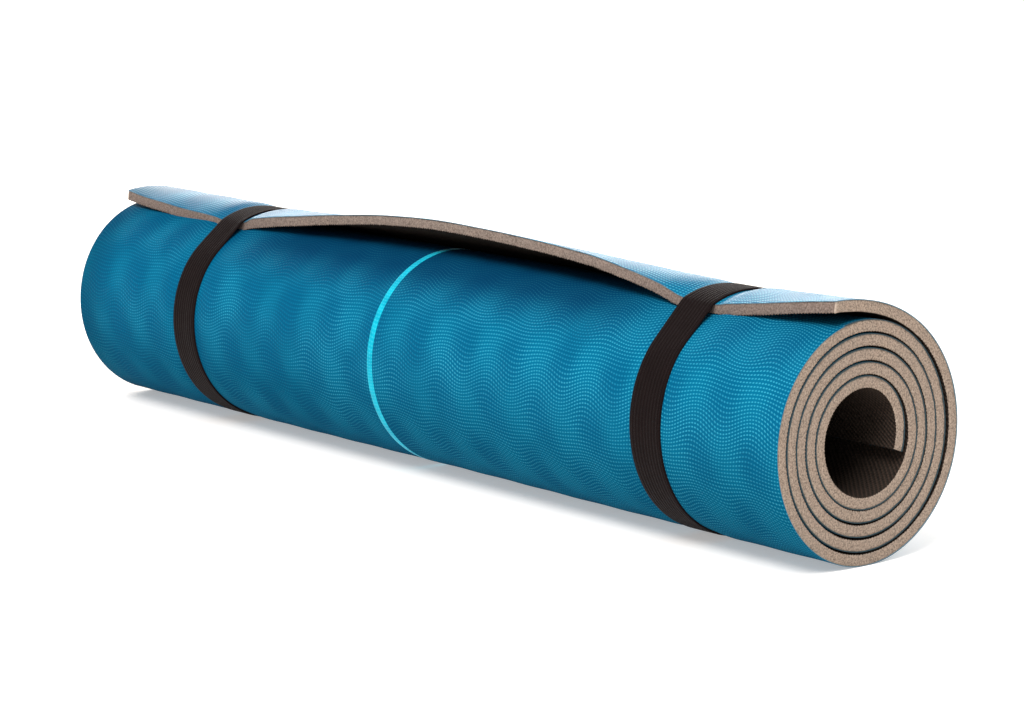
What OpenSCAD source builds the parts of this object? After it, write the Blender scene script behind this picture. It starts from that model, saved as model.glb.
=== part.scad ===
// Foam sleeping pad, rolled up and held by two elastic bands.
// The roll lies along X. The origin is on the ground under the middle of the roll,
// Y points to the back of the roll, and the loose flap opens towards the front.

/* [Mat] */
// Width of the mat, which is the length of the roll
mat_width = 600; // [500:10:800]
// Thickness of the foam
foam_thickness = 5.6; // [4:0.1:8]
// Thickness of the skin on the foam's outer side
skin_thickness = 0.4; // [0.3:0.05:0.8]
// Air between one turn of the roll and the next
turn_gap = 0.4; // [0.2:0.05:1]
// Place of the stripe along the roll
stripe_x = -10; // [-80:1:80]
// Width of the stripe
stripe_width = 4.5; // [2:0.5:12]
// Depth of the stripe in the skin
stripe_depth = 0.15; // [0.05:0.05:0.25]

/* [Roll] */
// Radius of the hollow at the heart of the roll
core_radius = 24.3; // [15:0.1:40]
// Whole turns under the outer flap
whole_turns = 5; // [3:1:7]
// Angle that the inner end runs on below level
inner_end_angle = 20; // [5:1:60]

/* [Flap] */
// Angle above level where the flap leaves the roll
flap_start_angle = 52; // [40:1:70]
// Angle of the flap's free edge where a band holds it down
flap_edge_angle = 110.5; // [95:0.5:120]
// Rise of the free edge midway between the bands
middle_rise = 15; // [0:0.5:20]
// Rise of the free edge at the left end
left_rise = 4.5; // [0:0.5:12]
// Rise of the free edge at the right end
right_rise = 8.5; // [0:0.5:12]
// Angle that the free edge creeps back for each millimetre of rise
edge_creep = 0.43; // [0:0.01:0.6]
// Distance inside each band where the corner's fold meets the free edge
fold_reach = 24; // [15:1:60]
// Place across the roll where the corner's fold meets the end of the mat
fold_end_y = 14; // [0:1:20]

/* [Bands] */
// Place of the left band along the roll
left_band_x = -188; // [-220:1:-120]
// Place of the right band along the roll
right_band_x = 209; // [120:1:220]
// Width of a band
band_width = 21.4; // [12:0.2:30]
// Thickness of the elastic
band_thickness = 1.3; // [0.8:0.1:3]
// Depth of the flat that the roll's weight presses into each band
band_flat = 0.9; // [0.3:0.1:1]
// Clearance between a band and the roll
band_clearance = 0.3; // [0.2:0.05:1]
// Length of the sewn lap, where a band's two ends overlap
lap_length = 30; // [15:1:40]
// Angle below level, at the back, of the middle of the lap
lap_angle = 26; // [20:1:60]

/* [Stitching] */
// Rows of stitches across each lap
stitch_rows = 3; // [1:1:4]
// Stitches in a row
stitches_per_row = 7; // [3:1:9]
// Thickness of the sewing thread
thread_thickness = 0.4; // [0.3:0.1:0.8]

/* [Hidden] */
$fn = 144;

half_turn = 180;

sheet_thickness = foam_thickness + skin_thickness;
pitch = sheet_thickness + turn_gap;

// The spiral is made of half turns. Those below the axis are centred on it, and
// those above it half a pitch to the front, so each half turn runs smoothly into the next.
upper_centre_y = -pitch / 2;
lower_centre_y = 0;
lower_radius = core_radius + pitch / 2;

// Outer radii of the outermost half turns
flap_radius = core_radius + whole_turns * pitch + sheet_thickness;
under_flap_radius = flap_radius - pitch;
bottom_radius = lower_radius + (whole_turns - 1) * pitch + sheet_thickness;

// The flat never wears through a thin band
deepest_flat = band_thickness * 0.7;
axis_height = bottom_radius + band_clearance + band_thickness - min(band_flat, deepest_flat);

mat_left = -mat_width / 2;
mat_right = mat_width / 2;
stripe_left = stripe_x - stripe_width / 2;
stripe_right = stripe_x + stripe_width / 2;

// Half the length along the roll that a band holds down flat
held_half = band_width / 2 + 1.5;
middle_left = left_band_x + held_half;
middle_right = right_band_x - held_half;

// The bow between the bands is a fuller curve than a plain sine
bow_power = 0.8;
// The ends curl up more and more sharply towards the corners
curl_power = 1.3;

// How finely the outer sheet is worked out, from level at the back to its free edge
wrap_rows = 6;
flap_rows = 6;
end_steps = 6;
half_bow_steps = 9;

// How far the groove for the stripe is cut past the skin's surface
groove_room = 0.15;

// Gap at each corner's fold
fold_gap = 0.35;
// How far the fold's cutting shape runs past the sheet, as a share of the fold
fold_overrun = 0.3;
// The cutting shape's lowest and highest point above the axis
cut_low = 40;
cut_high = 100;

// The free edge needs this much more angle inside a band than on the flap
edge_angle_room = 0.5;
// How far the band's straight fall from the edge bites into the curve it lands on
fall_bite = 0.02;

stitch_pitch_x = band_width / (stitches_per_row + 1);
stitch_length_x = stitch_pitch_x * 0.6;
stitch_angle = 1;
row_spacing_angle = 7;

foam_colour = [0.60, 0.54, 0.49];
skin_colour = [0.02, 0.30, 0.46];
stripe_colour = [0.05, 0.72, 0.84];
band_colour = [0.13, 0.09, 0.09];
thread_colour = [0.22, 0.18, 0.17];

// Rise of the flap's free edge at a place along the roll
function flap_rise(x) =
    x < left_band_x - held_half ? left_rise * end_curl(x, left_band_x - held_half, mat_left)
    : x < middle_left ? 0
    : x < middle_right ? middle_rise * pow(sin(bow_angle(x)), bow_power)
    : x < right_band_x + held_half ? 0
    : right_rise * end_curl(x, right_band_x + held_half, mat_right);

function bow_angle(x) = half_turn * (x - middle_left) / (middle_right - middle_left);
function end_curl(x, from, to) = pow((x - from) / (to - from), curl_power);

// The flap's free edge creeps back as it rises, because the sheet keeps its length
function free_edge_angle(x) = flap_edge_angle - edge_creep * flap_rise(x);

// How far along the flap a row lies: 0 where it leaves the roll, 1 at its free edge
function along_flap(row) = max(0, row - wrap_rows) / flap_rows;
function row_angle(x, row) =
    row < wrap_rows ? flap_start_angle * row / wrap_rows
    : flap_start_angle + along_flap(row) * (free_edge_angle(x) - flap_start_angle);

function outer_point(x, row, radius) =
    let (angle = row_angle(x, row), reach = radius + flap_rise(x) * pow(along_flap(row), 2))
    [x, upper_centre_y + reach * cos(angle), axis_height + reach * sin(angle)];

// Places along the roll at which the outer sheet's shape is worked out
function steps(from, to, count) = [for (i = [0 : count - 1]) from + (to - from) * i / count];
left_stations = concat(
    steps(mat_left, left_band_x - held_half, end_steps),
    [left_band_x - held_half],
    steps(middle_left, stripe_left, half_bow_steps),
    [stripe_left]
);
stripe_stations = [stripe_left, stripe_right];
right_stations = concat(
    steps(stripe_right, middle_right, half_bow_steps),
    [middle_right],
    steps(right_band_x + held_half, mat_right, end_steps),
    [mat_right]
);
all_stations = concat(left_stations, right_stations);

// A quadrilateral as two triangles, parted from its first corner to its third. Both faces of
// the sheet are parted alike, so that the skin lies on the foam without a gap or an overlap
function triangles(a, b, c, d) = [[a, b, c], [a, c, d]];

// The last of the sheet between two radii, from level at the back to its free edge,
// closed over the given places along the roll
module outer_sheet(stations, inner, outer) {
    last = len(stations) - 1;
    rim = wrap_rows + flap_rows;
    function id(i, j, side) = (i * (rim + 1) + j) * 2 + side;
    sheet_points = [
        for (x = stations) for (row = [0 : rim]) for (radius = [inner, outer])
            outer_point(x, row, radius)
    ];
    broad_faces = [
        for (i = [0 : last - 1]) for (j = [0 : rim - 1]) each concat(
            triangles(id(i, j, 1), id(i + 1, j, 1), id(i + 1, j + 1, 1), id(i, j + 1, 1)),
            triangles(id(i, j, 0), id(i, j + 1, 0), id(i + 1, j + 1, 0), id(i + 1, j, 0))
        )
    ];
    end_faces = [
        for (j = [0 : rim - 1]) each concat(
            triangles(id(0, j, 0), id(0, j, 1), id(0, j + 1, 1), id(0, j + 1, 0)),
            triangles(id(last, j + 1, 0), id(last, j + 1, 1), id(last, j, 1), id(last, j, 0))
        )
    ];
    edge_faces = [
        for (i = [0 : last - 1]) each concat(
            triangles(id(i, 0, 0), id(i + 1, 0, 0), id(i + 1, 0, 1), id(i, 0, 1)),
            triangles(id(i, rim, 1), id(i + 1, rim, 1), id(i + 1, rim, 0), id(i, rim, 0))
        )
    ];
    polyhedron(sheet_points, concat(broad_faces, end_faces, edge_faces));
}

// A curved wall along the roll, sweeping through an angle from where it starts
module arc_wall(centre_y, inner, thickness, start, sweep, x_from, x_to) {
    translate([x_from, centre_y, axis_height])
        rotate([90, 0, 90])
            rotate([0, 0, start])
                rotate_extrude(angle = sweep)
                    translate([inner, 0])
                        square([thickness, x_to - x_from]);
}

// A layer of the rolled sheet, measured outward from the foam's inner face
module rolled_layer(depth, thickness, x_from, x_to) {
    first_lower = lower_radius - pitch + depth;
    arc_wall(lower_centre_y, first_lower, thickness, 0, -inner_end_angle, x_from, x_to);
    for (turn = [0 : whole_turns - 1]) {
        upper = core_radius + turn * pitch + depth;
        lower = lower_radius + turn * pitch + depth;
        arc_wall(upper_centre_y, upper, thickness, 0, half_turn, x_from, x_to);
        arc_wall(lower_centre_y, lower, thickness, half_turn, half_turn, x_from, x_to);
    }
}

// Everything above the roll beyond a corner's fold, where side is -1 at the left end
// and 1 at the right
module beyond_fold(side, gap) {
    band_x = side < 0 ? left_band_x : right_band_x;
    fold_end = [side * mat_width / 2, fold_end_y];
    fold_edge = [band_x - side * fold_reach, -flap_radius / 2];
    overrun = (fold_edge - fold_end) * fold_overrun;
    past_end = fold_end - overrun;
    past_edge = fold_edge + overrun;
    translate([0, gap, axis_height + cut_low])
        linear_extrude(cut_high - cut_low)
            polygon([past_end, past_edge, [past_end[0], past_edge[1]]]);
}

module without_corners() {
    difference() {
        children();
        beyond_fold(-1, fold_gap);
        beyond_fold(1, fold_gap);
    }
}

module outer_foam() {
    outer_sheet(all_stations, flap_radius - sheet_thickness, flap_radius - skin_thickness);
}

module outer_skin() {
    outer_sheet(all_stations, flap_radius - skin_thickness, flap_radius);
}

// The stripe, or the groove that holds it when cut past the skin's surface
module stripe_inlay(past_surface) {
    depth = stripe_depth + past_surface;
    rolled_layer(sheet_thickness - stripe_depth, depth, stripe_left, stripe_right);
    outer_sheet(stripe_stations, flap_radius - stripe_depth, flap_radius + past_surface);
}

module foam_core() {
    color(foam_colour) {
        rolled_layer(0, foam_thickness, mat_left, mat_right);
        without_corners() outer_foam();
    }
}

module top_skin() {
    color(skin_colour)
        difference() {
            union() {
                rolled_layer(foam_thickness, skin_thickness, mat_left, mat_right);
                without_corners() outer_skin();
            }
            stripe_inlay(groove_room);
        }
}

module centre_stripe() {
    color(stripe_colour) stripe_inlay(0);
}

module corner_foam(side) {
    color(foam_colour)
        intersection() {
            outer_foam();
            beyond_fold(side, 0);
        }
}

module corner_skin(side) {
    color(skin_colour)
        intersection() {
            outer_skin();
            beyond_fold(side, 0);
        }
}

// The outline of a band around the roll, grown outward. It follows the outer turn to
// the flap's free edge, and from there falls straight to the turn below.
module loop_outline(grow) {
    outer = flap_radius + grow;
    under = under_flap_radius + grow;
    landing = under - fall_bite;
    edge = flap_edge_angle + edge_angle_room;
    touch = edge + acos(landing / outer);
    edge_point = outer * [cos(edge), sin(edge)];
    touch_point = landing * [cos(touch), sin(touch)];
    past_edge = 2 * edge_point - touch_point;
    reach = 2 * outer;
    translate([upper_centre_y, 0]) {
        half_disc(under);
        intersection() {
            half_disc(outer);
            polygon([[0, 0], [reach, 0], [reach, reach], past_edge, touch_point]);
        }
    }
    mirror([0, 1]) half_disc(bottom_radius + grow);
}

module half_disc(radius) {
    intersection() {
        circle(radius);
        translate([-radius, 0]) square([2 * radius, radius]);
    }
}

module band(band_x) {
    x_from = band_x - band_width / 2;
    x_to = band_x + band_width / 2;
    loop_radius = bottom_radius + band_clearance + band_thickness;
    lap_half_angle = lap_length / 2 / loop_radius * half_turn / PI;
    color(band_colour) {
        translate([x_from, 0, axis_height])
            rotate([90, 0, 90])
                linear_extrude(band_width)
                    difference() {
                        loop_outline(band_clearance + band_thickness);
                        loop_outline(band_clearance);
                        translate([-loop_radius, -axis_height - loop_radius])
                            square([2 * loop_radius, loop_radius]);
                    }
        arc_wall(
            lower_centre_y, loop_radius, band_thickness,
            -lap_angle - lap_half_angle, 2 * lap_half_angle, x_from, x_to
        );
    }
}

module band_stitching(band_x) {
    lap_top = bottom_radius + band_clearance + 2 * band_thickness;
    color(thread_colour)
        for (row = [0 : stitch_rows - 1])
            for (stitch = [1 : stitches_per_row]) {
                middle_angle = -lap_angle + (row - (stitch_rows - 1) / 2) * row_spacing_angle;
                stitch_x = band_x - band_width / 2 + stitch * stitch_pitch_x;
                arc_wall(
                    lower_centre_y, lap_top, thread_thickness,
                    middle_angle - stitch_angle / 2, stitch_angle,
                    stitch_x - stitch_length_x / 2, stitch_x + stitch_length_x / 2
                );
            }
}

foam_core();
top_skin();
centre_stripe();
corner_foam(-1);  // left_corner_foam
corner_skin(-1);  // left_corner_skin
corner_foam(1);  // right_corner_foam
corner_skin(1);  // right_corner_skin
band(left_band_x);  // left_band
band_stitching(left_band_x);  // left_band_stitching
band(right_band_x);  // right_band
band_stitching(right_band_x);  // right_band_stitching
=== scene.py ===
"""Foam sleeping pad, rolled up and held by two elastic bands: its looks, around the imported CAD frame.

The sheet is described by three numbers at each point: x along the roll, the turn in degrees along the
spiral from its start in the core, and the depth from the foam's bare inner face to the skin. Every
piece of the sheet is a block of such points, bent into place by sheet_place.
"""
import math

import bpy
import numpy as np
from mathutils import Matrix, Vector


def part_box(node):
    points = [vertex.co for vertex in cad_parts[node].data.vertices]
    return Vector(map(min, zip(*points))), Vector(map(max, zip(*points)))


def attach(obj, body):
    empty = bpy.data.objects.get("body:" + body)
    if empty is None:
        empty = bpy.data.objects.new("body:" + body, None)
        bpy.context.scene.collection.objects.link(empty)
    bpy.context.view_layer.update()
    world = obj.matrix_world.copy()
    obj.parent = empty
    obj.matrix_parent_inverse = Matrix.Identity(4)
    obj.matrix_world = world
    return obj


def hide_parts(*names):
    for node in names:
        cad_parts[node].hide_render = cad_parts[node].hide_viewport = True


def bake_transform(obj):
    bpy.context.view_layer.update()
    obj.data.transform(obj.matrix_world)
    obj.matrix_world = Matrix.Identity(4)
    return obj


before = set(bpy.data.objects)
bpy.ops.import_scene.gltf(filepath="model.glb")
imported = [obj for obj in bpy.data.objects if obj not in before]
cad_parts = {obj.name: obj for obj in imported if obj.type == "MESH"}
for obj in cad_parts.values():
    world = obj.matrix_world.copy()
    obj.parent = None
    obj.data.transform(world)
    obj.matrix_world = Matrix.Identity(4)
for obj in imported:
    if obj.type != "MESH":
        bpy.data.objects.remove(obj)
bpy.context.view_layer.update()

# ---------------------------------------------------------------- sizes, in millimetres
MM = 0.001
HALF_LENGTH = 300.0
AXIS_HEIGHT = 59.8
UPPER_CENTRE_Y = -3.2
CORE_RADIUS = 24.3
HALF_PITCH = 3.2
FOAM = 5.6
SHEET = 6.0
GROOVE = 0.15
RIB_PITCH = 1.95
HELD_SQUEEZE = 0.24

# Turning angles along the spiral, in degrees: its start, where its outer turn begins, the flap, the free edge
INNER_END = -20.0
OUTER_TURN = 1440.0
FLAP_START = 1852.0
FLAP_EDGE = 1910.5
# How many degrees the free edge draws back for each millimetre it rises
EDGE_CREEP = 0.43

stripe_low, stripe_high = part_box("centre_stripe")
STRIPE_LEFT, STRIPE_RIGHT = stripe_low.x / MM, stripe_high.x / MM
STRIPE_MIDDLE = (STRIPE_LEFT + STRIPE_RIGHT) / 2

BANDS = []
for band_body in ("left_band", "right_band"):
    band_low, band_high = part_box(band_body)
    BANDS.append(((band_low.x + band_high.x) / 2 / MM, (band_high.x - band_low.x) / 2 / MM))

# The free edge's rise above the turn it lies on, along the roll, as measured in the photograph
RISE_X = [-300.5, -280.8, -260.8, -237.9, -218.6, -205.9, -183.9, -168.4, -145.6, -123.2, -84.3, -40.0, 2.6,
          43.6, 75.3, 121.2, 157.9, 180.0, 193.5, 219.9, 247.6, 273.3, 300.8]
RISE = [4.3, 2.3, 1.0, -0.6, -1.6, -2.2, -2.0, 0.6, 3.6, 6.1, 10.2, 13.8, 15.2,
        14.6, 13.6, 11.2, 6.9, 3.2, 0.2, -0.9, 1.7, 5.2, 8.5]

# How far each quarter turn lies outside its even place in the spiral
QUARTER = 90.0
LOOSENESS = [-3.1, 0.5, 0.5, -0.6, -1.0, 0.5, 0.2, -0.8, -1.2, 0.7, 0.0, -0.4, -0.9,
             1.0, -0.4, 0.2, -1.1, 1.2, -0.7, 0.8, 0.8, 1.4, 1.0]

# The quilted ripple: its length along the roll and round it, and how far its columns sway
WAVE_X = 38.7
WAVE_S = 94.0
SWAY_X = 6.0
SWAY_S = 23.0
WAVE_PHASE = 0.9
RIPPLE_PHASE = 1.2

# The skin's painted light and shade on the ripple, lighter and darker in turn, and its embossed rows of dots
PATCH_S = 62.0
DOT_PITCH_X = 1.97
DOT_PITCH_S = 1.94


# ---------------------------------------------------------------- shape of the rolled sheet
def smooth_step(value):
    value = np.clip(value, 0.0, 1.0)
    return value * value * (3 - 2 * value)


def smooth_table(at, xs, ys):
    """A smooth curve through the table's points, without overshoot."""
    xs, ys = np.asarray(xs, float), np.asarray(ys, float)
    slope = np.diff(ys) / np.diff(xs)
    tangent = np.zeros(len(xs))
    same = slope[:-1] * slope[1:] > 0
    tangent[1:-1] = np.where(same, 2 * slope[:-1] * slope[1:] / np.where(same, slope[:-1] + slope[1:], 1), 0)
    tangent[0], tangent[-1] = slope[0], slope[-1]
    at = np.clip(at, xs[0], xs[-1])
    i = np.clip(np.searchsorted(xs, at, side="right") - 1, 0, len(xs) - 2)
    span = xs[i + 1] - xs[i]
    f = (at - xs[i]) / span
    return (
        ys[i] * (1 + 2 * f) * (1 - f) ** 2
        + tangent[i] * span * f * (1 - f) ** 2
        + ys[i + 1] * f * f * (3 - 2 * f)
        + tangent[i + 1] * span * f * f * (f - 1)
    )


def noise(points, cell, seed):
    """Smooth noise from -1 to 1, the same on every run."""
    scaled = np.asarray(points, float) / cell
    corner = np.floor(scaled).astype(np.int64)
    part = smooth_step(scaled - corner)
    total = np.zeros(len(scaled))
    for dx in (0, 1):
        for dy in (0, 1):
            for dz in (0, 1):
                key = (
                    (corner[:, 0] + dx) * 73856093
                    ^ (corner[:, 1] + dy) * 19349663
                    ^ (corner[:, 2] + dz) * 83492791
                    ^ (seed * 7919 + 17)
                )
                key = ((key ^ (key >> 13)) * 1274126177) & 0x7FFFFFFF
                key = key ^ (key >> 16)
                value = (key & 0xFFFF) / 32767.5 - 1
                weight = (
                    (part[:, 0] if dx else 1 - part[:, 0])
                    * (part[:, 1] if dy else 1 - part[:, 1])
                    * (part[:, 2] if dz else 1 - part[:, 2])
                )
                total += value * weight
    return total


# How far beyond a band's edge the sheet is still held down
HELD_REACH = 6.0
# How far a band presses the sheet in
HELD_DENT = 0.55


def squeeze(x):
    """How far the bands hold the sheet down at a place along the roll, from 0 to 1."""
    held = np.zeros(np.shape(x))
    for centre, half in BANDS:
        beyond = np.maximum(np.abs(x - centre) - half, 0)
        held = np.maximum(held, np.exp(-((beyond / HELD_REACH) ** 2)))
    return held


def looseness(x, turn):
    """How far the sheet lies outside its even place: less between the bands, and not at all under them."""
    places = np.arange(len(LOOSENESS)) * QUARTER
    value = smooth_table(turn, places, LOOSENESS)
    between = (x > BANDS[0][0]) & (x < BANDS[1][0])
    # The bands reach only the turns outside this angle
    outer_share = smooth_step((turn - (OUTER_TURN - QUARTER)) / 120)
    scale = np.where(between, 1 - 0.4 * outer_share, 1.0)
    held = squeeze(x) * outer_share
    return np.minimum(value, 0) * scale + np.maximum(value, 0) * scale * (1 - held) - HELD_DENT * held


def arc_length(turn):
    """Length along the sheet's outer side, from the spiral's start."""
    half = np.floor(np.maximum(turn, 0) / 180)
    before = math.pi * (half * (CORE_RADIUS + SHEET) + HALF_PITCH * half * (half - 1) / 2)
    return before + np.radians(turn - 180 * half) * (CORE_RADIUS + SHEET + HALF_PITCH * half)


def undulation(x, s, turn):
    """The shallow ripple of the outer turn."""
    swayed = x + SWAY_X * np.sin(s / SWAY_S)
    columns_wave = np.cos(2 * math.pi * swayed / WAVE_X + WAVE_PHASE)
    wide = columns_wave * np.cos(2 * math.pi * s / WAVE_S + RIPPLE_PHASE)
    slow = np.sin(x / 41.0 + 1.3) * np.sin(s / 57.0 + 0.4)
    return (0.11 * wide + 0.16 * slow) * smooth_step((turn - 1450) / 60) * (1 - squeeze(x))


def rise(x):
    """How far the free edge stands off the turn below it."""
    return smooth_table(x, RISE_X, RISE)


def free_edge(x):
    """The turning angle at which the sheet ends."""
    return FLAP_EDGE - EDGE_CREEP * np.maximum(rise(x), 0)


def sheet_place(x, turn, depth):
    """Where a point of the sheet lies, and its length along the sheet."""
    half = np.floor(turn / 180)
    centre = np.where(half % 2 == 0, UPPER_CENTRE_Y, 0.0)
    s = arc_length(turn)
    flap = np.clip((turn - FLAP_START) / np.maximum(free_edge(x) - FLAP_START, 1), 0, 1)
    held = squeeze(x)
    loose = looseness(x, turn)
    lifted = rise(x)
    bulge = np.where(lifted > 0, 0.35 * lifted * flap**2 * (1 - flap), 0)
    radius = CORE_RADIUS + HALF_PITCH * half + depth * (1 - HELD_SQUEEZE * held * flap**2)
    radius = radius + loose * (1 - flap**3) + undulation(x, s, turn) * (1 - 0.6 * flap)
    radius = radius + lifted * flap**3 + bulge
    angle = np.radians(turn)
    y = centre + radius * np.cos(angle)
    # Nothing sinks into the ground
    z = np.maximum(AXIS_HEIGHT + radius * np.sin(angle), 0.1 + 0.02 * (SHEET - depth))
    return y, z, s


# ---------------------------------------------------------------- meshes
FOAM_DEPTHS = np.array([0.0, 0.35, 1.3, 2.8, 4.3, 5.25, FOAM])
# How far back from the free edge the closely spaced rows of points lie
EDGE_ROWS = np.array([6.0, 4.6, 3.4, 2.4, 1.6, 1.0, 0.5, 0.0])
# The outer turn's radius, which makes a length along it an angle
OUTER_RADIUS = 62.0
# How far in from the roll's ends the foam comes right up to the skin and has ribs
END_ZONE = 2.5
# How far the foam stays under the skin everywhere else
UNDER_SKIN = 0.3
# How far in from a cut face its roughness reaches, at the ends and at the free edge
END_REACH = 1.8
EDGE_REACH = 2.6
# How deep the wear of a cut face's rim and the bare side's ribs reach into the foam
RIM_DEPTH = 0.9
RIB_DEPTH = 1.3
# The ribs' height at the ends and at the free edge
END_RIB = 0.2
EDGE_RIB = 0.36


def quads_of(ids):
    return np.stack([ids[:-1, :-1], ids[1:, :-1], ids[1:, 1:], ids[:-1, 1:]], -1).reshape(-1, 4)


def block(nx, nu, nt):
    """The surface of a block of nx by nu by nt points: the points' three indices, and the faces, outward."""
    ids = np.full((nx, nu, nt), -1)
    shell = np.zeros((nx, nu, nt), bool)
    shell[[0, -1]] = True
    shell[:, [0, -1]] = True
    shell[:, :, [0, -1]] = True
    ids[shell] = np.arange(shell.sum())
    faces = np.concatenate([
        quads_of(ids[:, :, -1].T),
        quads_of(ids[:, :, 0]),
        quads_of(ids[-1].T),
        quads_of(ids[0]),
        quads_of(ids[:, -1]),
        quads_of(ids[:, 0].T),
    ])
    return np.nonzero(shell), faces


def make_piece(name, points, faces, sheet, material, sharp=40.0, painted_corner_highlight=None):
    mesh = bpy.data.meshes.new(name)
    mesh.vertices.add(len(points))
    mesh.vertices.foreach_set("co", (np.asarray(points) * MM).astype(np.float32).ravel())
    mesh.loops.add(faces.size)
    mesh.loops.foreach_set("vertex_index", faces.astype(np.int32).ravel())
    mesh.polygons.add(len(faces))
    mesh.polygons.foreach_set("loop_start", np.arange(0, faces.size, faces.shape[1], dtype=np.int32))
    mesh.polygons.foreach_set("use_smooth", np.ones(len(faces), bool))
    mesh.update(calc_edges=True)
    mesh.validate()
    for attribute_name, values in (("sheet", sheet), ("place", points)):
        attribute = mesh.attributes.new(attribute_name, "FLOAT_VECTOR", "POINT")
        attribute.data.foreach_set("vector", np.asarray(values, np.float32).ravel())
    if painted_corner_highlight is not None:
        mesh.attributes.new("painted_corner_highlight", "FLOAT", "POINT").data.foreach_set("value", painted_corner_highlight.astype(np.float32))
    mesh.set_sharp_from_angle(angle=math.radians(sharp))
    mesh.materials.append(material)
    piece = bpy.data.objects.new(name, mesh)
    bpy.context.scene.collection.objects.link(piece)
    return piece


def columns(low, high, step, *extra):
    """Places from low to high about step apart, with some extra places."""
    plain = np.linspace(low, high, max(2, int(round((high - low) / step)) + 1))
    more = [e for e in extra if low < e < high]
    if more:
        near = np.min(np.abs(plain[:, None] - np.array(more)[None]), 1)
        plain = plain[(near > step * 0.4) | (plain == low) | (plain == high)]
    return np.sort(np.concatenate([plain, more]))


def turns_between(low, high, step):
    """Turning angles from low to high, a step apart along the sheet."""
    fine = np.linspace(low, high, 6000)
    length = arc_length(fine)
    count = max(2, int(round((length[-1] - length[0]) / step)) + 1)
    return np.interp(np.linspace(length[0], length[-1], count), length, fine)


def cut_wear(depth, amount):
    """How far a cut face's rim is rounded back at a depth in the foam."""
    rim = np.minimum(depth, FOAM - depth)
    return amount * (1 - np.clip(rim / RIM_DEPTH, 0, 1)) ** 2


def near_end(x):
    """Close to the roll's ends, from 0 to 1: how much of the cut face's roughness a point takes part in."""
    return np.clip((np.abs(x) - HALF_LENGTH + END_REACH) / END_REACH, 0, 1)


def ribs_at(along, depth, height):
    """The bare side's ribs, as they show in a cut edge, fading into the foam."""
    return height * (1 + np.sin(2 * math.pi * along / RIB_PITCH)) * np.clip(1 - depth / RIB_DEPTH, 0, 1)


def roll_foam(name, low, high, xs, step, material):
    """Foam from one turn to another. Between its cut ends it stays a little clear of the skin on it."""
    turns = turns_between(low, high, step)
    (ix, iu, it), faces = block(len(xs), len(turns), len(FOAM_DEPTHS))
    x, turn, depth = xs[ix], turns[iu], FOAM_DEPTHS[it]
    at_end = np.abs(x) > HALF_LENGTH - END_ZONE
    under_skin = (it == len(FOAM_DEPTHS) - 1) & ~at_end & (iu > 0) & (iu < len(turns) - 1)
    depth = np.where(under_skin, depth - UNDER_SKIN, depth)
    ribs = ribs_at(arc_length(turn), depth, END_RIB) * at_end
    y, z, s = sheet_place(x, turn, depth + ribs)
    place = np.stack([x, y, z], 1)
    uneven = 0.16 * noise(place, 2.6, 3) + 0.10 * noise(place, 0.9, 4)
    x = x + np.sign(x) * near_end(x) * (uneven - 0.12 - cut_wear(depth, 0.30))
    return make_piece(name, np.stack([x, y, z], 1), faces, np.stack([x, s, depth], 1), material)


def skin_tops(xs):
    """The skin's outer side, lower in the stripe's groove."""
    in_groove = (xs > STRIPE_LEFT - 1e-6) & (xs < STRIPE_RIGHT + 1e-6)
    return np.where(in_groove, SHEET - GROOVE, SHEET)


def roll_skin(name, low, high, xs, step, material):
    turns = turns_between(low, high, step)
    (ix, iu, it), faces = block(len(xs), len(turns), 2)
    x, turn = xs[ix], turns[iu]
    depth = np.where(it == 1, skin_tops(xs)[ix], FOAM)
    y, z, s = sheet_place(x, turn, depth)
    return make_piece(name, np.stack([x, y, z], 1), faces, np.stack([x, s, depth], 1), material)


def flap_turn(x, share):
    """The turning angle at a share of the way over the flap."""
    return FLAP_START + share * (free_edge(x) - FLAP_START)


FLAP_LENGTH = math.radians(FLAP_EDGE - FLAP_START) * (CORE_RADIUS + 5 * 2 * HALF_PITCH + SHEET)


def flap_shares(step):
    """Places from the flap's start to its free edge, from 0 to 1, closer together near the edge."""
    plain = FLAP_LENGTH - EDGE_ROWS[0]
    inner = np.linspace(0, 1 - EDGE_ROWS[0] / FLAP_LENGTH, int(round(plain / step)))
    return np.concatenate([inner[:-1], 1 - EDGE_ROWS / FLAP_LENGTH])


def cut_slant(share, depth):
    """The free edge is cut on a slant: how far each depth reaches past a square cut."""
    return 2.4 * (0.5 - depth / SHEET) * smooth_step((share - 0.9) / 0.1)


def flap_foam(name, xs, step, material):
    shares = flap_shares(step)
    (ix, iu, it), faces = block(len(xs), len(shares), len(FOAM_DEPTHS))
    x, share, depth = xs[ix], shares[iu], FOAM_DEPTHS[it]
    near_edge = smooth_step((share - 0.86) / 0.1)
    ribs = ribs_at(x, depth, EDGE_RIB) * near_edge
    turn = flap_turn(x, share)
    y, z, _ = sheet_place(x, turn, depth + ribs)
    place = np.stack([x, y, z], 1)
    rough = 0.20 * noise(place, 3.1, 5) + 0.13 * noise(place, 1.0, 6)
    near_cut = np.clip(1 - (1 - share) * FLAP_LENGTH / EDGE_REACH, 0, 1)
    back = near_cut * (rough - 0.15 - cut_wear(depth, 0.35))
    turn = turn + np.degrees((back + cut_slant(share, depth)) / OUTER_RADIUS)
    y, z, s = sheet_place(x, turn, depth + ribs)
    # A painted highlight on the free edge's corners at the roll's ends
    painted_corner_highlight = (np.abs(x) > 299.2) & (iu >= len(shares) - 2)
    x = x + np.sign(x) * near_end(x) * (rough - 0.12 - cut_wear(depth, 0.30))
    return make_piece(name, np.stack([x, y, z], 1), faces, np.stack([x, s, depth], 1), material, painted_corner_highlight=painted_corner_highlight)


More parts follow.
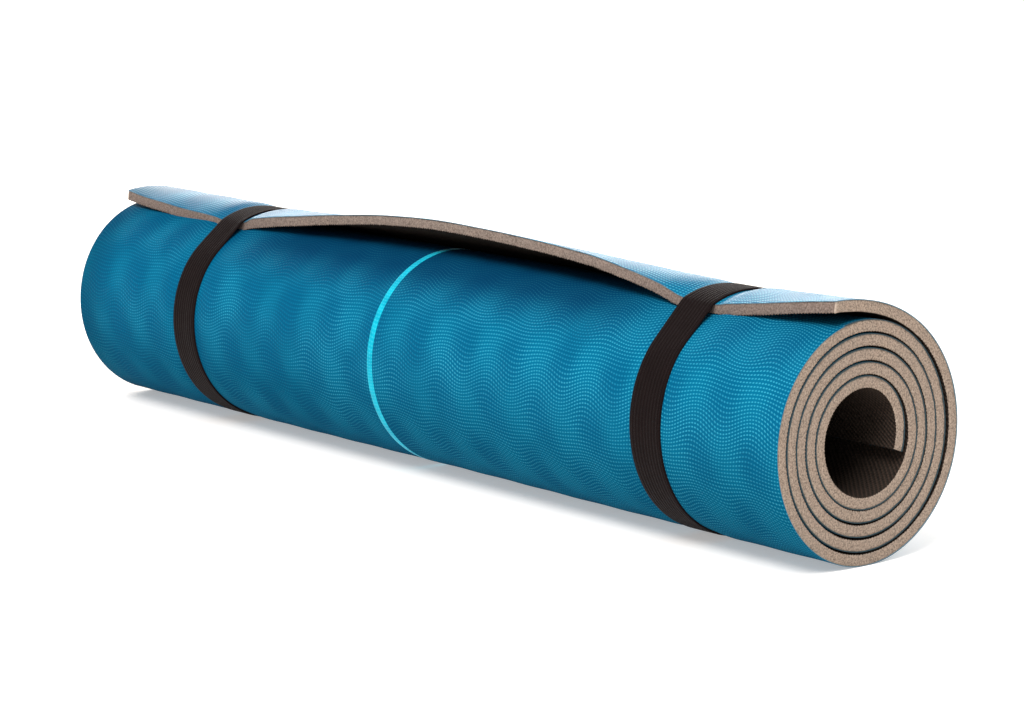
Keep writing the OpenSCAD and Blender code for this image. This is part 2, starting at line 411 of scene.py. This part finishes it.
def flap_skin(name, xs, step, material):
    shares = flap_shares(step)
    (ix, iu, it), faces = block(len(xs), len(shares), 2)
    x, share = xs[ix], shares[iu]
    depth = np.where(it == 1, skin_tops(xs)[ix], FOAM)
    turn = flap_turn(x, share) + np.degrees(cut_slant(share, depth) / OUTER_RADIUS)
    y, z, s = sheet_place(x, turn, depth)
    return make_piece(name, np.stack([x, y, z], 1), faces, np.stack([x, s, depth], 1), material)


def stripe_piece(name, material):
    """The stripe's inlay, from the roll's heart to the free edge, a hair inside its groove."""
    xs = np.array([STRIPE_LEFT + 0.03, STRIPE_LEFT + 0.25, STRIPE_LEFT + 1.4, STRIPE_MIDDLE,
                   STRIPE_RIGHT - 1.4, STRIPE_RIGHT - 0.25, STRIPE_RIGHT - 0.03])
    crown = np.array([-0.03, 0.03, 0.05, 0.05, 0.05, 0.03, -0.03])
    turns = np.concatenate([turns_between(INNER_END, FLAP_START, 2.0)[:-1],
                            flap_turn(STRIPE_MIDDLE, flap_shares(2.0))])
    (ix, iu, it), faces = block(len(xs), len(turns), 2)
    x, turn = xs[ix], turns[iu]
    depth = np.where(it == 1, SHEET + crown[ix], SHEET - GROOVE + 0.01)
    share = (turn - FLAP_START) / (turns[-1] - FLAP_START)
    turn = turn + np.degrees(cut_slant(share, depth) / OUTER_RADIUS)
    y, z, s = sheet_place(x, turn, depth)
    return make_piece(name, np.stack([x, y, z], 1), faces, np.stack([x, s, depth], 1), material)


# ---------------------------------------------------------------- bands
BAND_THICKNESS = 1.15
BAND_CENTRE_Y = -1.6
# The angle at which the strap starts and how far its two ends overlap, in degrees
LAP_FROM = 320.1
LAP_SWEEP = 27.8
BAND_WIDTH = 21.07
RIB_COUNT = 10
RIB_RELIEF = 0.10
# The stitching: rows and how far apart they lie in degrees, stitches in a row, and the thread
ROWS = (-1, 0, 1)
ROW_SPACING = 7.0
STITCH_COUNT = 15
STITCH_REACH = 0.86
STITCH_SWING = 0.75
THREAD_RADIUS = 0.21


def hull(points):
    """The convex outline of points in a plane."""
    points = sorted(map(tuple, points))

    def chain(run):
        kept = []
        for p in run:
            while len(kept) > 1 and (
                (kept[-1][0] - kept[-2][0]) * (p[1] - kept[-2][1])
                - (kept[-1][1] - kept[-2][1]) * (p[0] - kept[-2][0])
            ) <= 0:
                kept.pop()
            kept.append(p)
        return kept[:-1]

    return np.array(chain(points) + chain(points[::-1]))


def band_radius(x, angles):
    """The tight outline of the roll and flap at a place along the roll, as radii about the band's centre."""
    edge = float(free_edge(np.array(x)))
    turns = np.concatenate([np.linspace(1500, FLAP_START, 500), np.linspace(FLAP_START, edge, 160)])
    y, z, _ = sheet_place(np.full(len(turns), x), turns, np.full(len(turns), SHEET))
    outline = hull(np.stack([y, z], 1))
    loop = np.concatenate([outline, outline[:1]])
    dense = np.concatenate([np.linspace(a, b, 24, endpoint=False) for a, b in zip(loop[:-1], loop[1:])])
    offset = dense - [BAND_CENTRE_Y, AXIS_HEIGHT]
    polar = np.degrees(np.arctan2(offset[:, 1], offset[:, 0])) % 360
    order = np.argsort(polar)
    radius = np.interp(angles % 360, polar[order], np.hypot(*offset.T)[order], period=360)
    return radius


def band_surface(centre, half, across, angles):
    """Inner face of a band: across from -1 to 1 over its width, angles in degrees round the roll."""
    grid = np.arange(0, 360, 0.5)
    stations = np.array([-1.0, -0.5, 0.0, 0.5, 1.0])
    table = []
    for station in stations:
        radius = band_radius(centre + station * half, grid)
        kernel = np.array([1, 2, 3, 2, 1]) / 9
        wrapped = np.concatenate([radius[-2:], radius, radius[:2]])
        table.append(np.convolve(wrapped, kernel, mode="valid"))
    table = np.array(table)
    f = np.clip((across + 1) * 2, 0, 3.9999)
    i = f.astype(int)
    along = (angles % 360) / 0.5
    j = along.astype(int) % len(grid)
    k = (j + 1) % len(grid)
    g = along - np.floor(along)
    low = table[i, j] * (1 - g) + table[i, k] * g
    high = table[i + 1, j] * (1 - g) + table[i + 1, k] * g
    return low * (1 - (f - i)) + high * (f - i)


def lap_lift(angles):
    """The strap's second layer climbs onto the first, and lies on it to its end."""
    start = LAP_FROM + 360
    return (BAND_THICKNESS + 0.08) * smooth_step((angles - (start - 5.0)) / 5.0)


def band_wander(centre, angles):
    """How far the band strays along the roll on its way round."""
    return 0.25 * np.sin(np.radians(angles) * 2 + centre)


def band_piece(name, centre, half, material):
    over_ribs = np.arange(0, RIB_COUNT * 6 + 1) / (RIB_COUNT * 6) * 2 - 1
    across = np.concatenate([[-1.0], over_ribs * 0.985, [1.0]])
    angles = np.arange(LAP_FROM, LAP_FROM + 360 + LAP_SWEEP + 0.01, 1.0)
    (ix, iu, it), faces = block(len(across), len(angles), 2)
    w, angle = across[ix], angles[iu]
    edge = np.clip((1 - np.abs(w)) / 0.06, 0, 1)
    rib = RIB_RELIEF * np.cos(w * math.pi * RIB_COUNT)
    thickness = BAND_THICKNESS * (0.45 + 0.55 * np.sqrt(edge)) - RIB_RELIEF + rib * edge
    radius = band_surface(centre, half, w, angle) + lap_lift(angle) + 0.04
    radius = radius + np.where(it == 1, thickness, 0.14 * (1 - edge))
    y = BAND_CENTRE_Y + radius * np.cos(np.radians(angle))
    z = np.maximum(AXIS_HEIGHT + radius * np.sin(np.radians(angle)), np.where(it == 1, 0.04, 0.3))
    x = centre + w * half + band_wander(centre, angle)
    points = np.stack([x, y, z], 1)
    length = np.radians(angle - LAP_FROM) * OUTER_RADIUS
    weave = np.stack([w * half, length, np.where(it == 1, thickness, 0)], 1)
    return make_piece(name, points, faces, weave, material, 60)


def tube(path, radius, sides=6):
    """A closed tube along a line of points."""
    path = np.asarray(path, float)
    ahead = np.gradient(path, axis=0)
    ahead /= np.linalg.norm(ahead, axis=1)[:, None]
    up = np.tile(np.array([1.0, 0.0, 0.0]), (len(path), 1))
    flat = np.abs(ahead[:, 0]) > 0.9
    up[flat] = [0.0, 0.0, 1.0]
    side = np.cross(ahead, up)
    side /= np.linalg.norm(side, axis=1)[:, None]
    up = np.cross(side, ahead)
    turn = np.arange(sides) * 2 * math.pi / sides
    taper = np.ones(len(path))
    taper[[0, -1]] = 0.45
    spoke = np.cos(turn)[None, :, None] * side[:, None] + np.sin(turn)[None, :, None] * up[:, None]
    points = (path[:, None] + radius * taper[:, None, None] * spoke).reshape(-1, 3)
    faces = []
    for i in range(len(path) - 1):
        for k in range(sides):
            n = (k + 1) % sides
            faces.append([i * sides + k, (i + 1) * sides + k, (i + 1) * sides + n, i * sides + n])
    for base, flip in ((0, False), ((len(path) - 1) * sides, True)):
        cap = [base + k for k in range(sides)]
        cap = cap[::-1] if flip else cap
        for k in range(1, sides - 1, 2):
            faces.append([cap[0], cap[k], cap[k + 1], cap[(k + 2) % sides]])
    return points, np.array(faces)


def band_thread(name, centre, half, material):
    """Three rows of zigzag stitches through the lap."""
    all_points, all_faces, base = [], [], 0
    for row in ROWS:
        middle = LAP_FROM + 360 + LAP_SWEEP / 2 + row * ROW_SPACING
        for k in range(STITCH_COUNT):
            a = -STITCH_REACH + 2 * STITCH_REACH * k / STITCH_COUNT
            b = -STITCH_REACH + 2 * STITCH_REACH * (k + 1) / STITCH_COUNT
            swing = STITCH_SWING if k % 2 else -STITCH_SWING
            share = np.linspace(0, 1, 7)
            w = a + (b - a) * share
            angle = middle + swing * (2 * share - 1)
            arch = 0.24 * np.sin(math.pi * share) ** 0.6 - 0.12
            top = band_surface(centre, half, w, angle) + lap_lift(angle) + BAND_THICKNESS + arch
            y = BAND_CENTRE_Y + top * np.cos(np.radians(angle))
            z = AXIS_HEIGHT + top * np.sin(np.radians(angle))
            x = centre + w * half + band_wander(centre, angle)
            points, faces = tube(np.stack([x, y, z], 1), THREAD_RADIUS)
            all_points.append(points)
            all_faces.append(faces + base)
            base += len(points)
    points = np.concatenate(all_points)
    return make_piece(name, points, np.concatenate(all_faces), points, material, 80)


# ---------------------------------------------------------------- materials
class Nodes:
    """A material's node tree, built a node at a time."""

    def __init__(self, name):
        self.material = bpy.data.materials.new(name)
        self.material.use_nodes = True
        self.tree = self.material.node_tree
        self.tree.nodes.clear()
        self.shader = self.tree.nodes.new("ShaderNodeBsdfPrincipled")
        out = self.tree.nodes.new("ShaderNodeOutputMaterial")
        self.tree.links.new(self.shader.outputs[0], out.inputs["Surface"])

    def put(self, socket, value):
        if isinstance(value, bpy.types.NodeSocket):
            self.tree.links.new(value, socket)
        else:
            socket.default_value = value

    def node(self, kind, inputs=(), output=0, **settings):
        made = self.tree.nodes.new(kind)
        for key, value in settings.items():
            setattr(made, key, value)
        for key, value in dict(inputs).items():
            self.put(made.inputs[key], value)
        return made.outputs[output]

    def math(self, operation, a, b=0.0, c=None, clamp=False):
        inputs = {0: a, 1: b}
        if c is not None:
            inputs[2] = c
        return self.node("ShaderNodeMath", inputs, operation=operation, use_clamp=clamp)

    def ramp(self, value, low, high, to_low=0.0, to_high=1.0):
        inputs = {0: value, 1: low, 2: high, 3: to_low, 4: to_high}
        return self.node("ShaderNodeMapRange", inputs, interpolation_type="SMOOTHSTEP")

    def mix(self, share, a, b, blend_type="MIX"):
        made = self.tree.nodes.new("ShaderNodeMix")
        made.data_type = "RGBA"
        made.blend_type = blend_type
        self.put(made.inputs[0], share)
        self.put(made.inputs[6], a)
        self.put(made.inputs[7], b)
        return made.outputs[2]

    def attribute(self, name):
        return self.node("ShaderNodeAttribute", output=1, attribute_name=name)

    def parts(self, vector):
        made = self.tree.nodes.new("ShaderNodeSeparateXYZ")
        self.tree.links.new(vector, made.inputs[0])
        return made.outputs

    def noise(self, vector, scale, detail=2.0, roughness=0.5):
        return self.node(
            "ShaderNodeTexNoise",
            {"Vector": vector, "Scale": scale, "Detail": detail, "Roughness": roughness},
        )

    def wave(self, value, period, phase=0.0):
        """Sine of a length over a period."""
        return self.math("SINE", self.math("MULTIPLY_ADD", value, 2 * math.pi / period, phase))

    def bump(self, height, distance, strength=1.0, normal=None):
        inputs = {"Height": height, "Distance": distance, "Strength": strength}
        if normal is not None:
            inputs["Normal"] = normal
        return self.node("ShaderNodeBump", inputs)


def linear(red, green, blue):
    def one(value):
        value /= 255
        return value / 12.92 if value <= 0.04045 else ((value + 0.055) / 1.055) ** 2.4

    return (one(red), one(green), one(blue), 1.0)


def dot_pattern(n, x, s):
    """Rows of small embossed dots, bent into waves, from 0 between the rows to 1 on top of a dot."""
    u = n.math("MULTIPLY_ADD", n.wave(s, 44.0, 0.7), 1.5, x)
    phase = n.math("MULTIPLY", n.wave(s, WAVE_S, 0.3), 0.5)
    wave = n.math("SINE", n.math("MULTIPLY_ADD", x, 2 * math.pi / WAVE_X, phase))
    crest = math.pi / 2 - 4 * math.pi * STRONG_ROWS / WAVE_S
    swell = n.math("MULTIPLY_ADD", n.wave(s, WAVE_S / 2, crest), 1.25, 1.95)
    v = n.math("MULTIPLY_ADD", wave, swell, s)
    across = n.math("MULTIPLY_ADD", n.wave(u, DOT_PITCH_X), 0.5, 0.5)
    along = n.math("MULTIPLY_ADD", n.wave(v, DOT_PITCH_S), 0.5, 0.5)
    return n.math("MULTIPLY", n.math("MULTIPLY_ADD", across, 0.55, 0.45), along)


def skin_material():
    n = Nodes("embossed_skin")
    sheet, place = n.attribute("sheet"), n.attribute("place")
    x, s, depth = n.parts(sheet)
    dots = dot_pattern(n, x, s)
    swayed = n.math("MULTIPLY_ADD", n.math("SINE", n.math("DIVIDE", s, SWAY_S)), SWAY_X, x)
    patches_x = n.wave(swayed, WAVE_X, WAVE_PHASE + math.pi / 2)
    painted_ripple_shading = n.math("MULTIPLY", patches_x, n.wave(s, PATCH_S, RIPPLE_PHASE + math.pi / 2))
    cloud = n.noise(place, 0.03, 2.0)
    # Painted light and shade: the ripple's painted shading and a rise from left to right make the skin's
    # ground and dots lighter or darker, as light falls on it; the cloud is random tone
    tone = n.math("MULTIPLY_ADD", painted_ripple_shading, 0.1, n.math("MULTIPLY_ADD", x, 0.0009, cloud))
    light = n.ramp(tone, 0.15, 0.85)
    fine = n.noise(place, 1.3, 2.0)
    between, on_dot = n.mix(light, SKIN_DEEP, SKIN_BASE), n.mix(light, SKIN_DOT_DIM, SKIN_DOT)
    colour = n.mix(n.ramp(dots, 0.36, 0.96), between, on_dot)
    colour = n.mix(n.ramp(fine, 0.35, 0.75, 0.0, 0.14), colour, SKIN_DEEP)
    # Painted highlight on the ripple's crests, and painted shade in its troughs
    colour = n.mix(n.ramp(painted_ripple_shading, -0.4, 1.0, 0.0, 0.17), colour, SKIN_PAINTED_CREST_LIGHT)
    colour = n.mix(n.ramp(painted_ripple_shading, -0.9, 0.1, 0.2, 0.0), colour, SKIN_PAINTED_TROUGH_SHADE)
    # Painted shade: darker low on the roll and at its far end, and a painted shadow where the flap shelters
    # it
    _, _, high = n.parts(place)
    colour = n.mix(n.ramp(high, 0.0, 85.0, 0.5, 0.0), colour, SKIN_PAINTED_SHADE)
    colour = n.mix(n.ramp(x, -300.0, -262.0, 0.4, 0.0), colour, SKIN_PAINTED_SHADE)
    # Painted shadow of the flap on the skin just below its edge, strongest between the bands
    sheltered = n.math("MULTIPLY", n.ramp(x, -190.0, -120.0), n.ramp(x, 130.0, 205.0, 1.0, 0.0))
    flap_shadow_zone = n.ramp(s, SHADE_LENGTH, SHADE_LENGTH + 30.0, 1.0, 0.0)
    shade = n.math("MULTIPLY", flap_shadow_zone, n.math("MULTIPLY_ADD", sheltered, 0.55, 0.27))
    colour = n.mix(shade, colour, SKIN_PAINTED_FLAP_SHADOW)
    # The film's cut edge: dark in the spiral's thin lines, paler along the flap's free edge. Near the ends
    # the covered turns' outer side is painted dark as well, as painted shade in the gaps between turns
    at_end = n.ramp(n.math("ABSOLUTE", x), 298.6, 299.6)
    wrapped = n.ramp(s, COVERED_LENGTH - 2, COVERED_LENGTH, 1.0, 0.0)
    cut_side = n.ramp(depth, FOAM + 0.1, SHEET - 0.05, 1.0, 0.0)
    cut_and_gap_shade = n.math("MAXIMUM", cut_side, n.math("MULTIPLY", at_end, wrapped))
    colour = n.mix(cut_and_gap_shade, colour, n.mix(wrapped, SKIN_FREE_EDGE, SKIN_CUT_AND_GAP_SHADE))
    n.put(n.shader.inputs["Base Color"], colour)
    dulled = n.math("MULTIPLY_ADD", flap_shadow_zone, 0.4, n.ramp(high, 20.0, 100.0, 0.5, 0.0))
    roughness = n.math("ADD", n.ramp(dots, 0.0, 1.0, 0.46, 0.34), dulled, clamp=True)
    n.put(n.shader.inputs["Roughness"], roughness)
    n.shader.inputs["IOR"].default_value = 1.1
    height = n.math("MULTIPLY_ADD", dots, 0.15, n.math("MULTIPLY", fine, 0.05))
    n.put(n.shader.inputs["Normal"], n.bump(height, MM, 0.8))
    return n.material


def stripe_material():
    n = Nodes("inlaid_stripe")
    sheet, place = n.attribute("sheet"), n.attribute("place")
    x, s, _ = n.parts(sheet)
    dots = dot_pattern(n, x, s)
    cloud = n.noise(place, 0.12, 3.0)
    colour = n.mix(n.ramp(cloud, 0.3, 0.7), STRIPE_DEEP, STRIPE_BRIGHT)
    colour = n.mix(n.ramp(dots, 0.3, 0.9, 0.0, 0.3), colour, STRIPE_PALE)
    n.put(n.shader.inputs["Base Color"], colour)
    n.put(n.shader.inputs["Roughness"], n.ramp(n.noise(place, 0.9), 0.3, 0.7, 0.3, 0.42))
    n.shader.inputs["IOR"].default_value = 1.12
    n.shader.inputs["Sheen Weight"].default_value = 0.15
    n.shader.inputs["Sheen Roughness"].default_value = 0.3
    n.put(n.shader.inputs["Normal"], n.bump(n.math("MULTIPLY", dots, 0.12), MM, 0.6))
    return n.material


def foam_material():
    n = Nodes("closed_cell_foam")
    sheet, place = n.attribute("sheet"), n.attribute("place")
    x, s, depth = n.parts(sheet)
    grain = n.noise(place, 1.1, 3.0, 0.65)
    coarse = n.noise(place, 0.35, 2.0)
    broad = n.noise(place, 0.03, 2.0)
    cells = n.node("ShaderNodeTexVoronoi", {"Vector": place, "Scale": 1.5}, feature="F1")
    colour = n.mix(n.ramp(grain, 0.33, 0.67), FOAM_DARK, FOAM_LIGHT)
    colour = n.mix(n.ramp(coarse, 0.35, 0.75, 0.0, 0.35), colour, FOAM_PINK)
    colour = n.mix(n.ramp(broad, 0.3, 0.7, 0.0, 0.22), colour, FOAM_GREY)
    colour = n.mix(n.ramp(cells, 0.0, 0.28, 0.3, 0.0), colour, FOAM_PORE)
    # Painted shade makes the free edge's face darker and greyer, as it faces down; a painted highlight makes
    # its rubbed corners pale
    on_end = n.ramp(n.math("ABSOLUTE", x), 299.0, 299.5)
    free = n.math("MULTIPLY", n.ramp(s, EDGE_LENGTH - 1, EDGE_LENGTH), n.math("SUBTRACT", 1.0, on_end))
    painted_corner_highlight = n.node("ShaderNodeAttribute", output=2, attribute_name="painted_corner_highlight")
    painted_edge_shade = n.mix(n.ramp(n.math("ABSOLUTE", x), 60.0, 230.0), EDGE_PAINTED_SHADE, EDGE_PAINTED_SHADE_END)
    colour = n.mix(free, colour, painted_edge_shade, "MULTIPLY")
    colour = n.mix(n.math("MULTIPLY", painted_corner_highlight, 0.5), colour, FOAM_PAINTED_CORNER_HIGHLIGHT)
    # Painted shade: the side without the skin, with its slanting ribs, and the sheet's first edge in the core
    # are painted near black
    inside = n.math("SUBTRACT", 1.0, on_end)
    first_edge = n.math("MULTIPLY", n.ramp(s, FIRST_LENGTH + 0.1, FIRST_LENGTH + 0.4, 1.0, 0.0), inside)
    under = n.math("MAXIMUM", n.ramp(depth, 0.02, 0.25, 1.0, 0.0), first_edge)
    ribs = n.wave(n.math("MULTIPLY_ADD", s, 0.9, x), 3.0)
    cross = n.wave(n.math("MULTIPLY_ADD", s, -0.5, x), 2.2)
    weave = n.math("MULTIPLY_ADD", cross, 0.5, ribs)
    # Painted light: the bare side's ribs are lighter near the roll's ends, where light falls into the core
    mouth = n.ramp(n.math("ABSOLUTE", x), 250.0, 299.0)
    colour = n.mix(n.math("MULTIPLY", under, 0.93), colour, FOAM_PAINTED_SHADE)
    lit = n.math("MULTIPLY", n.ramp(weave, -0.4, 1.2, 0.0, 0.75), n.math("MULTIPLY_ADD", mouth, 0.85, 0.15))
    colour = n.mix(n.math("MULTIPLY", lit, under), colour, FOAM_RIB_PAINTED_LIGHT)
    n.put(n.shader.inputs["Base Color"], colour)
    n.shader.inputs["Roughness"].default_value = 0.9
    n.shader.inputs["IOR"].default_value = 1.2
    pits = n.math("MULTIPLY_ADD", n.ramp(cells, 0.0, 0.35), 0.1, n.math("MULTIPLY", grain, 0.22))
    relief = n.math("MULTIPLY", weave, under)
    height = n.math("MULTIPLY_ADD", relief, 0.25, pits)
    n.put(n.shader.inputs["Normal"], n.bump(height, MM, 0.8))
    return n.material


# The elastic's yarns: how far apart they lie across the band and along it
WARP = 1.07
WEFT = 0.95


def elastic_material():
    n = Nodes("woven_elastic")
    sheet, place = n.attribute("sheet"), n.attribute("place")
    w, length, _ = n.parts(sheet)
    stagger = n.math("MULTIPLY", n.math("SIGN", n.wave(w, 2 * WARP)), 0.25)
    weft = n.wave(n.math("ADD", length, stagger), WEFT)
    warp = n.wave(w, WARP)
    weave = n.math("MULTIPLY_ADD", warp, 0.6, weft)
    fuzz = n.noise(place, 2.2, 3.0, 0.7)
    broad = n.noise(place, 0.09, 2.0)
    groove = n.ramp(n.wave(w, BAND_WIDTH / RIB_COUNT, math.pi / 2), -0.9, 0.1)
    colour = n.mix(groove, BAND_DARK, BAND_BASE)
    colour = n.mix(n.ramp(weave, -0.6, 1.4, 0.0, 0.4), colour, BAND_LIGHT)
    colour = n.mix(n.ramp(fuzz, 0.45, 0.8, 0.0, 0.25), colour, BAND_FUZZ)
    colour = n.mix(n.ramp(broad, 0.3, 0.7, 0.0, 0.3), colour, BAND_DARK)
    n.put(n.shader.inputs["Base Color"], colour)
    n.shader.inputs["Roughness"].default_value = 0.75
    n.shader.inputs["IOR"].default_value = 1.15
    n.shader.inputs["Sheen Weight"].default_value = 0.05
    n.shader.inputs["Sheen Roughness"].default_value = 0.4
    height = n.math("MULTIPLY_ADD", weave, 0.05, n.math("MULTIPLY", fuzz, 0.06))
    n.put(n.shader.inputs["Normal"], n.bump(height, MM, 0.8))
    return n.material


def thread_material():
    n = Nodes("sewing_thread")
    place = n.attribute("place")
    x, y, z = n.parts(place)
    twist = n.wave(n.math("ADD", n.math("ADD", x, y), z), 0.5)
    fuzz = n.noise(place, 3.0, 2.0)
    colour = n.mix(n.ramp(twist, -0.5, 1.0), BAND_DARK, THREAD)
    colour = n.mix(n.ramp(fuzz, 0.4, 0.8, 0.0, 0.4), colour, BAND_FUZZ)
    n.put(n.shader.inputs["Base Color"], colour)
    n.shader.inputs["Roughness"].default_value = 0.6
    n.put(n.shader.inputs["Normal"], n.bump(n.math("MULTIPLY", twist, 0.05), MM, 0.7))
    return n.material


def floor_material():
    n = Nodes("studio_paper")
    place = n.node("ShaderNodeTexCoord", output=3)
    tone = n.noise(place, 0.4, 1.0)
    n.put(n.shader.inputs["Base Color"], n.mix(tone, (0.84, 0.8, 0.77, 1), (0.86, 0.82, 0.79, 1)))
    n.shader.inputs["Emission Color"].default_value = (1.0, 1.0, 1.0, 1.0)
    n.shader.inputs["Emission Strength"].default_value = 0.36
    n.shader.inputs["Roughness"].default_value = 0.95
    n.shader.inputs["Specular IOR Level"].default_value = 0.1
    return n.material


SKIN_DEEP = linear(0, 86, 121)
SKIN_BASE = linear(0, 98, 134)
SKIN_DOT_DIM = linear(0, 110, 146)
SKIN_DOT = linear(52, 162, 192)
SKIN_PAINTED_CREST_LIGHT = linear(10, 132, 164)
SKIN_PAINTED_SHADE = linear(0, 50, 70)
SKIN_PAINTED_TROUGH_SHADE = linear(0, 84, 124)
SKIN_PAINTED_FLAP_SHADOW = linear(0, 44, 78)
SKIN_CUT_AND_GAP_SHADE = linear(62, 78, 84)
SKIN_FREE_EDGE = linear(112, 134, 144)
STRIPE_DEEP = linear(0, 158, 188)
STRIPE_BRIGHT = linear(14, 184, 210)
STRIPE_PALE = linear(84, 214, 228)
FOAM_DARK = linear(110, 97, 86)
FOAM_LIGHT = linear(178, 160, 144)
FOAM_PINK = linear(166, 144, 128)
FOAM_GREY = linear(144, 132, 122)
FOAM_PORE = linear(84, 73, 64)
FOAM_RIB_PAINTED_LIGHT = linear(72, 57, 49)
EDGE_PAINTED_SHADE = (0.68, 0.68, 0.72, 1.0)
EDGE_PAINTED_SHADE_END = (0.66, 0.64, 0.68, 1.0)
FOAM_PAINTED_CORNER_HIGHLIGHT = linear(206, 188, 172)
FOAM_PAINTED_SHADE = linear(13, 10, 8)
BAND_DARK = linear(12, 5, 5)
BAND_BASE = linear(20, 11, 11)
BAND_LIGHT = linear(33, 22, 22)
BAND_FUZZ = linear(50, 38, 37)
THREAD = linear(60, 48, 46)

# Lengths along the sheet: its start, where the rows wave most, where the flap's painted shadow ends, where it
# is no longer covered by another turn, and near its free edge
FIRST_LENGTH = float(arc_length(np.array(INNER_END)))
STRONG_ROWS = float(arc_length(np.array(1565.0)))
SHADE_LENGTH = float(arc_length(np.array(1557.0)))
COVERED_LENGTH = float(arc_length(np.array(1545.0)))
EDGE_LENGTH = float(arc_length(np.array(1900.0)))

skin = skin_material()
stripe = stripe_material()
foam = foam_material()
elastic = elastic_material()
thread = thread_material()

# ---------------------------------------------------------------- the pieces
band_edges = []
for centre, half in BANDS:
    for beyond in (-16, -10, -6.5, -3.5, 0):
        band_edges += [centre - half + beyond, centre + half - beyond]
left_end = [-HALF_LENGTH, -299.6, -298.8, -297.0, -290.0]
right_end = [290.0, 297.0, 298.8, 299.6, HALF_LENGTH]
middle = [-150.0, -100.0, -60.0, -20.0, 20.0, 60.0, 100.0, 150.0]
inner_columns = np.array([*left_end, -100.0, 100.0, *right_end])
outer_columns = np.sort(np.array([*left_end, *band_edges, *middle, *right_end]))

foam_heart = roll_foam("foam_inner_turns", INNER_END, OUTER_TURN, inner_columns, 0.62, foam)
foam_turn = roll_foam("foam_outer_turn", OUTER_TURN, FLAP_START, outer_columns, 0.62, foam)

# The skin is parted a little past the foam's seam
SKIN_TURN = 1480.0
groove = (STRIPE_LEFT - 0.01, STRIPE_LEFT, STRIPE_RIGHT, STRIPE_RIGHT + 0.01)
heart_columns = np.array([-HALF_LENGTH, -150.0, *groove, 150.0, HALF_LENGTH])
turn_columns = columns(-HALF_LENGTH, HALF_LENGTH, 3.0, *groove, -299.7, 299.7)
skin_heart = roll_skin("skin_inner_turns", INNER_END, SKIN_TURN, heart_columns, 2.0, skin)
skin_turn = roll_skin("skin_outer_turn", SKIN_TURN, FLAP_START, turn_columns, 2.8, skin)

left_columns = columns(-HALF_LENGTH, STRIPE_MIDDLE, 0.55)
right_columns = columns(STRIPE_MIDDLE, HALF_LENGTH, 0.55)
flap_foam_left = flap_foam("flap_foam_left", left_columns, 3.2, foam)
flap_foam_right = flap_foam("flap_foam_right", right_columns, 3.2, foam)
flap_skin_left = flap_skin("flap_skin_left", columns(-HALF_LENGTH, STRIPE_MIDDLE, 2.0, *groove), 2.0, skin)
flap_skin_right = flap_skin("flap_skin_right", columns(STRIPE_MIDDLE, HALF_LENGTH, 2.0, *groove), 2.0, skin)
stripe_line = stripe_piece("stripe_line", stripe)

for piece, slot, node in (
    (foam_heart, "foam", "foam_core"),
    (foam_turn, "foam", "foam_core"),
    (skin_heart, "skin", "top_skin"),
    (skin_turn, "skin", "top_skin"),
    (stripe_line, "stripe", "centre_stripe"),
):
    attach(piece, "rolled_mat")
    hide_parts(node)

# Each corner of the flap is made already in its place; here its transform is baked and the model's corner
# parts are hidden. The direction square to the fold is given but not used.
for side, body, foam_piece, skin_piece, square_to_fold in (
    (-1, "left_flap_corner", flap_foam_left, flap_skin_left, (-0.3151, -0.9491)),
    (1, "right_flap_corner", flap_foam_right, flap_skin_right, (0.3655, -0.9308)),
):
    corner = body.replace("flap_", "")
    for piece, slot, node in ((foam_piece, "foam", corner + "_foam"), (skin_piece, "skin", corner + "_skin")):
        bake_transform(piece)
        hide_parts(node)

for body, (centre, half) in zip(("left_band", "right_band"), BANDS):
    strap = band_piece(body + "_strap", centre, half, elastic)
    seam = band_thread(body + "_zigzag", centre, half, thread)
    for piece, slot, node in ((strap, "elastic", body), (seam, "thread", body + "_stitching")):
        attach(piece, body)
        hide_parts(node)

# ---------------------------------------------------------------- studio
bpy.ops.mesh.primitive_plane_add(size=40, location=(0, 0, 0))
floor = bpy.context.active_object
floor.name = "studio_floor"
floor.data.materials.append(floor_material())

world = bpy.data.worlds.new("studio")
world.use_nodes = True
background = world.node_tree.nodes["Background"]
background.inputs[0].default_value = (1, 1, 1, 1)
background.inputs[1].default_value = 0.45
bpy.context.scene.world = world

WARM = (1.0, 0.97, 0.93)


def soft_light(name, place, aim, size, power):
    light = bpy.data.lights.new(name, "AREA")
    light.shape = "RECTANGLE"
    light.size, light.size_y = size
    light.energy = power
    light.color = WARM
    made = bpy.data.objects.new(name, light)
    made.location = place
    made.rotation_euler = (Vector(aim) - Vector(place)).to_track_quat("-Z", "Y").to_euler()
    bpy.context.scene.collection.objects.link(made)


soft_light("overhead", (-0.3, 0.7, 2.4), (0, 0, 0), (3.4, 2.6), 16)
soft_light("back", (-2.3, 1.9, 0.95), (0, 0, 0.1), (3.2, 1.3), 108)
soft_light("front", (0.9, -1.0, 1.5), (0.2, 0, 0.05), (0.9, 0.7), 17.5)

sun = bpy.data.objects.new("key", bpy.data.lights.new("key", "SUN"))
sun.data.energy = 1.6
sun.data.angle = math.radians(40)
sun.rotation_euler = Vector((-0.25, 0.55, -1.0)).to_track_quat("-Z", "Y").to_euler()
bpy.context.scene.collection.objects.link(sun)

# ---------------------------------------------------------------- camera
AZIMUTH, ELEVATION, DISTANCE = math.radians(50.9695), math.radians(9.7379), 1.6884
target = Vector((0.0370, 0.0, 0.0645))
level = math.cos(ELEVATION)
back = Vector((math.sin(AZIMUTH) * level, -math.cos(AZIMUTH) * level, math.sin(ELEVATION)))
lens = bpy.data.cameras.new("camera")
lens.lens = 112.6
lens.sensor_width = 36
camera = bpy.data.objects.new("camera", lens)
camera.location = target + back * DISTANCE
camera.rotation_euler = (-back).to_track_quat("-Z", "Y").to_euler()
bpy.context.scene.collection.objects.link(camera)
bpy.context.scene.camera = camera
bpy.context.scene.view_settings.view_transform = "Standard"
